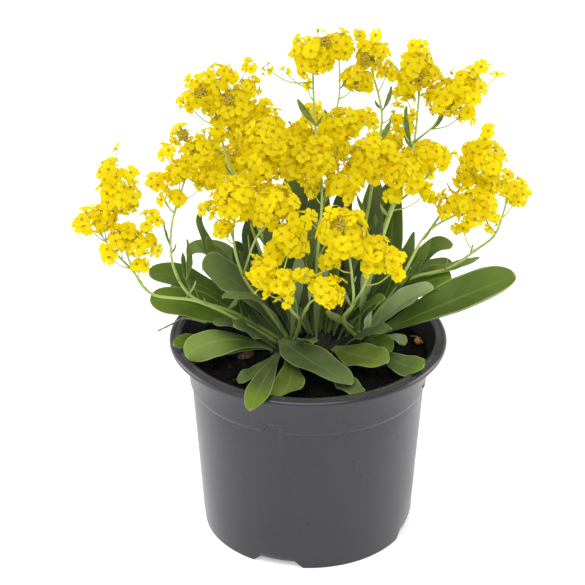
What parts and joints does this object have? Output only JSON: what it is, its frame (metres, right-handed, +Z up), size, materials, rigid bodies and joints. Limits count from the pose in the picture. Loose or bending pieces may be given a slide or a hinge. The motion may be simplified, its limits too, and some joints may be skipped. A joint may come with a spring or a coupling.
{
  "type": "potted basket of gold plant",
  "caption": "Basket of gold in flower: yellow clusters on thin branching stems over loose grey-green leaves, in a round nursery pot, for beds, rockeries and balconies.",
  "frame": {"origin": "on the ground under the pot's own axis, which is the middle of the bounding box's foot", "axes": "+Z up along the pot's axis, +X to the viewer's right and -Y towards the viewer of the picture"},
  "size_m": [0.208, 0.14, 0.2351],
  "materials": {
    "pot_plastic": "satin, dark grey",
    "soil": "moist, crumbly",
    "crown_bark": "rough",
    "bark_chip": "rough",
    "prill": "satin",
    "stem": "smooth, fresh green",
    "leaf": "felted, soft",
    "leaf_pale": "felted, soft",
    "petal": "matt, thin"
  },
  "bodies": {
    "root": {"pot": "pot_plastic", "soil": "soil", "crown": "crown_bark", "bark_chip": "bark_chip", "fertiliser_prill": "prill", "stem_front_left": "stem", "stem_front_right": "stem", "stem_left": "stem", "stem_far_left": "stem", "stem_centre_left": "stem", "stem_upper_left": "stem", "stem_centre": "stem", "stem_top_left": "stem", "stem_top_middle": "stem", "stem_top_right": "stem", "stem_right_centre": "stem", "stem_right": "stem", "stem_far_right": "stem", "stem_rear_left": "stem", "stem_rear_right": "stem", "leaf_front_dark": "leaf", "leaf_front_right": "leaf", "leaf_rim_tongue": "leaf", "leaf_rim_broad": "leaf", "leaf_right_rim": "leaf", "leaf_left_bright": "leaf_pale", "leaf_left_round": "leaf", "leaf_right_long": "leaf", "leaf_left_dark": "leaf", "leaf_left_upper": "leaf", "leaf_right_mid": "leaf", "leaf_right_pale": "leaf_pale", "leaf_left_narrow": "leaf", "leaf_left_short": "leaf", "leaf_left_low": "leaf", "leaf_soil_small": "leaf", "leaf_right_upper": "leaf", "leaf_left_erect": "leaf", "leaf_back_round": "leaf", "leaf_rear_left": "leaf", "leaf_rear_middle": "leaf", "leaf_rear_right": "leaf", "flowers_far_left": "petal", "flowers_left": "petal", "flowers_upper_left": "petal", "flowers_centre_left": "petal", "flowers_front_upper": "petal", "flowers_front_left": "petal", "flowers_front_small": "petal", "flowers_front_right": "petal", "flowers_centre": "petal", "flowers_right_centre": "petal", "flowers_top_left": "petal", "flowers_top_middle": "petal", "flowers_top_right": "petal", "flowers_right": "petal", "flowers_far_right": "petal", "flowers_rear_left": "petal", "flowers_rear_middle": "petal", "flowers_rear_right": "petal"}
  },
  "joints": []
}
